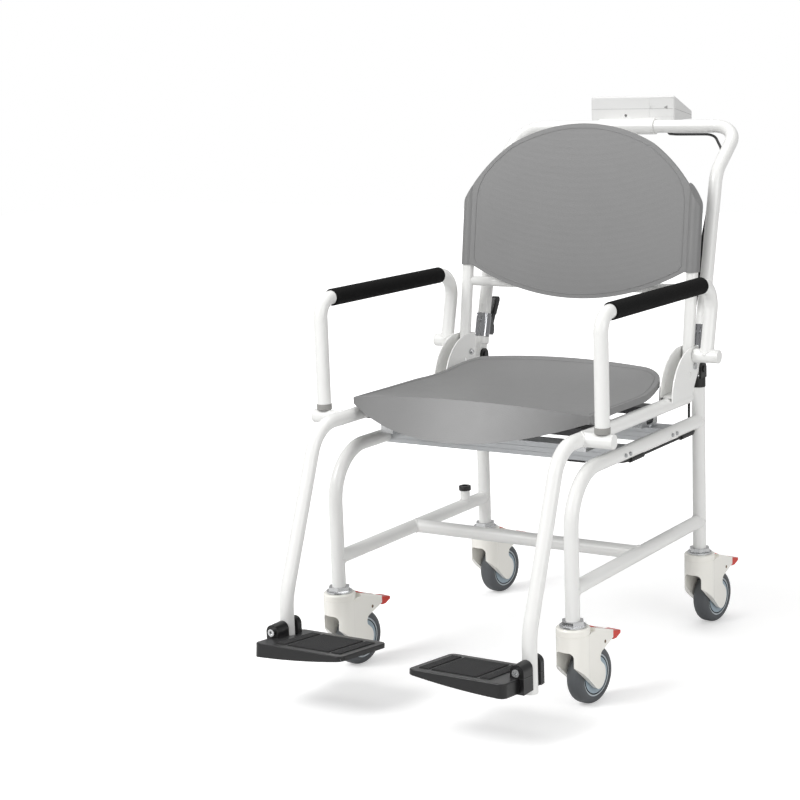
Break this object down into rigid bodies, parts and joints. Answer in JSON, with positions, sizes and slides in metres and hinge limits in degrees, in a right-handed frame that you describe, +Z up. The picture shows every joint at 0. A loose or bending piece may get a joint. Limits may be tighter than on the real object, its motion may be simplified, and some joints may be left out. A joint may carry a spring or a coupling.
{
  "type": "digital chair scale",
  "caption": "Wheeled chair scale with a moulded seat and folding backrest, swing-up armrests, folding footplates, braked casters and an indicator on a push handle.",
  "frame": {"origin": "on the floor under the middle of the whole chair", "axes": "+Z up, the sitter faces -Y, +X is the sitter's left"},
  "size_m": [0.6086, 1.0585, 0.9981],
  "materials": {
    "frame_tube": "warm white powder coat, satin",
    "carrier_steel": "dark grey powder coat",
    "beam_aluminium": "ribbed extrusion, satin anodised",
    "seat_plastic": "mid grey, fine dimple grain",
    "pad_foam": "black closed-cell foam",
    "foot_rubber": "grey rubber",
    "footplate_plastic": "black moulded plastic, grained treads",
    "socket_plastic": "black plastic",
    "black_metal": "black powder coat",
    "chrome": "polished",
    "steel": "zinc plated",
    "latch_grey": "dark grey plastic",
    "lever_black": "black plastic",
    "case_plastic": "pale grey, fine grain",
    "key_plastic": "grey keys",
    "display": "green-grey display window",
    "cable_jacket": "black cable jacket",
    "caster_white": "warm white moulded shell",
    "wheel_tyre": "grey tyre on a blue-grey core",
    "pedal_red": "red brake pedal"
  },
  "bodies": {
    "base": {"front_leg_left": "frame_tube", "front_leg_right": "frame_tube", "rear_posts": "frame_tube", "lower_rail_left": "frame_tube", "lower_rail_right": "frame_tube", "lower_crossbar": "frame_tube", "pole_socket": "socket_plastic", "load_beams": "beam_aluminium", "load_cells": "steel", "seat_rail_left": "frame_tube", "seat_rail_right": "frame_tube", "seat_supports": "carrier_steel", "seat_shell": "seat_plastic", "gusset_brackets": "frame_tube", "arm_pivot_pins": "frame_tube", "backrest_pivot_bolts": "steel", "footplate_bolts": "steel", "hinge_bases": "black_metal", "caster_stems": "steel", "cable_lower": "cable_jacket", "cable_guides": "case_plastic"},
    "backrest": {"backrest_posts": "frame_tube", "backrest_crossbar": "frame_tube", "backrest_shell": "seat_plastic"},
    "handle": {"handle_loop": "frame_tube", "latch_sleeves": "chrome", "latch_housings": "latch_grey", "indicator_bracket": "frame_tube", "indicator_case_top": "case_plastic", "indicator_case_bottom": "case_plastic", "display_window": "display", "cable_upper": "cable_jacket"},
    "battery_door": {"battery_door": "case_plastic"},
    "armrest_left": {"arm_left": "frame_tube", "arm_pad_left": "pad_foam", "arm_foot_left": "foot_rubber"},
    "footplate_left": {"footplate_left": "footplate_plastic"},
    "latch_lever_left": {"latch_lever_left": "lever_black"},
    "armrest_right": {"arm_right": "frame_tube", "arm_pad_right": "pad_foam", "arm_foot_right": "foot_rubber"},
    "footplate_right": {"footplate_right": "footplate_plastic"},
    "latch_lever_right": {"latch_lever_right": "lever_black"},
    "caster_front_left": {"caster_fork_front_left": "caster_white"},
    "wheel_front_left": {"caster_wheel_front_left": "wheel_tyre"},
    "pedal_front_left": {"caster_pedal_front_left": "pedal_red"},
    "caster_rear_left": {"caster_fork_rear_left": "caster_white"},
    "wheel_rear_left": {"caster_wheel_rear_left": "wheel_tyre"},
    "pedal_rear_left": {"caster_pedal_rear_left": "pedal_red"},
    "caster_front_right": {"caster_fork_front_right": "caster_white"},
    "wheel_front_right": {"caster_wheel_front_right": "wheel_tyre"},
    "pedal_front_right": {"caster_pedal_front_right": "pedal_red"},
    "caster_rear_right": {"caster_fork_rear_right": "caster_white"},
    "wheel_rear_right": {"caster_wheel_rear_right": "wheel_tyre"},
    "pedal_rear_right": {"caster_pedal_rear_right": "pedal_red"},
    "key_1": {"key_1": "key_plastic"},
    "key_2": {"key_2": "key_plastic"},
    "key_3": {"key_3": "key_plastic"},
    "key_4": {"key_4": "key_plastic"},
    "key_5": {"key_5": "key_plastic"}
  },
  "joints": [
    {"name": "backrest_fold", "type": "hinge", "parent": "base", "child": "backrest", "pos_m": [0, 0.17226, 0.513], "axis": [1, 0, 0], "range_deg": [0, 90]},
    {"name": "handle_fold", "type": "hinge", "parent": "base", "child": "handle", "pos_m": [0, 0.22726, 0.499], "axis": [-1, 0, 0], "range_deg": [0, 90]},
    {"name": "battery_door_slide", "type": "slide", "parent": "handle", "child": "battery_door", "axis": [1, 0, 0], "range_m": [0, 0.045]},
    {"name": "armrest_left_swing", "type": "hinge", "parent": "base", "child": "armrest_left", "pos_m": [0.278, 0.17126, 0.533], "axis": [-1, 0, 0], "range_deg": [0, 95]},
    {"name": "footplate_left_fold", "type": "hinge", "parent": "base", "child": "footplate_left", "pos_m": [0.24, -0.44874, 0.124], "axis": [0, 1, 0], "range_deg": [0, 88]},
    {"name": "latch_lever_left_pull", "type": "hinge", "parent": "handle", "child": "latch_lever_left", "pos_m": [0.237, 0.26681, 0.54697], "axis": [-1, 0, 0], "range_deg": [0, 25], "stiffness_Nm_per_rad": 1},
    {"name": "armrest_right_swing", "type": "hinge", "parent": "base", "child": "armrest_right", "pos_m": [-0.278, 0.17126, 0.533], "axis": [-1, 0, 0], "range_deg": [0, 95]},
    {"name": "footplate_right_fold", "type": "hinge", "parent": "base", "child": "footplate_right", "pos_m": [-0.24, -0.44874, 0.124], "axis": [0, -1, 0], "range_deg": [0, 88]},
    {"name": "latch_lever_right_pull", "type": "hinge", "parent": "handle", "child": "latch_lever_right", "pos_m": [-0.237, 0.26681, 0.54697], "axis": [-1, 0, 0], "range_deg": [0, 25], "stiffness_Nm_per_rad": 1},
    {"name": "caster_front_left_swivel", "type": "hinge", "parent": "base", "child": "caster_front_left", "pos_m": [0.237, -0.28474, 0.133], "axis": [0, 0, 1], "range_deg": [-145, 145]},
    {"name": "wheel_front_left_spin", "type": "hinge", "parent": "caster_front_left", "child": "wheel_front_left", "pos_m": [0.24312, -0.24117, 0.05], "axis": [0.9903, -0.1392, 0], "continuous": true},
    {"name": "pedal_front_left_press", "type": "hinge", "parent": "caster_front_left", "child": "pedal_front_left", "pos_m": [0.24605, -0.22038, 0.104], "axis": [-0.9903, 0.1392, 0], "range_deg": [0, 10]},
    {"name": "caster_rear_left_swivel", "type": "hinge", "parent": "base", "child": "caster_rear_left", "pos_m": [0.237, 0.22726, 0.133], "axis": [0, 0, 1], "continuous": true},
    {"name": "wheel_rear_left_spin", "type": "hinge", "parent": "caster_rear_left", "child": "wheel_rear_left", "pos_m": [0.24312, 0.27083, 0.05], "axis": [0.9903, -0.1392, 0], "continuous": true},
    {"name": "pedal_rear_left_press", "type": "hinge", "parent": "caster_rear_left", "child": "pedal_rear_left", "pos_m": [0.24605, 0.29162, 0.104], "axis": [-0.9903, 0.1392, 0], "range_deg": [0, 10]},
    {"name": "caster_front_right_swivel", "type": "hinge", "parent": "base", "child": "caster_front_right", "pos_m": [-0.237, -0.28474, 0.133], "axis": [0, 0, 1], "range_deg": [-130, 155]},
    {"name": "wheel_front_right_spin", "type": "hinge", "parent": "caster_front_right", "child": "wheel_front_right", "pos_m": [-0.23088, -0.24117, 0.05], "axis": [0.9903, -0.1392, 0], "continuous": true},
    {"name": "pedal_front_right_press", "type": "hinge", "parent": "caster_front_right", "child": "pedal_front_right", "pos_m": [-0.22795, -0.22038, 0.104], "axis": [-0.9903, 0.1392, 0], "range_deg": [0, 10]},
    {"name": "caster_rear_right_swivel", "type": "hinge", "parent": "base", "child": "caster_rear_right", "pos_m": [-0.237, 0.22726, 0.133], "axis": [0, 0, 1], "continuous": true},
    {"name": "wheel_rear_right_spin", "type": "hinge", "parent": "caster_rear_right", "child": "wheel_rear_right", "pos_m": [-0.23088, 0.27083, 0.05], "axis": [0.9903, -0.1392, 0], "continuous": true},
    {"name": "pedal_rear_right_press", "type": "hinge", "parent": "caster_rear_right", "child": "pedal_rear_right", "pos_m": [-0.22795, 0.29162, 0.104], "axis": [-0.9903, 0.1392, 0], "range_deg": [0, 10]},
    {"name": "key_1_press", "type": "slide", "parent": "handle", "child": "key_1", "axis": [0, -0.3677, -0.93], "range_m": [0, 0.0012], "stiffness_N_per_m": 600},
    {"name": "key_2_press", "type": "slide", "parent": "handle", "child": "key_2", "axis": [0, -0.3677, -0.93], "range_m": [0, 0.0012], "stiffness_N_per_m": 600},
    {"name": "key_3_press", "type": "slide", "parent": "handle", "child": "key_3", "axis": [0, -0.3677, -0.93], "range_m": [0, 0.0012], "stiffness_N_per_m": 600},
    {"name": "key_4_press", "type": "slide", "parent": "handle", "child": "key_4", "axis": [0, -0.3677, -0.93], "range_m": [0, 0.0012], "stiffness_N_per_m": 600},
    {"name": "key_5_press", "type": "slide", "parent": "handle", "child": "key_5", "axis": [0, -0.3677, -0.93], "range_m": [0, 0.0012], "stiffness_N_per_m": 600}
  ]
}
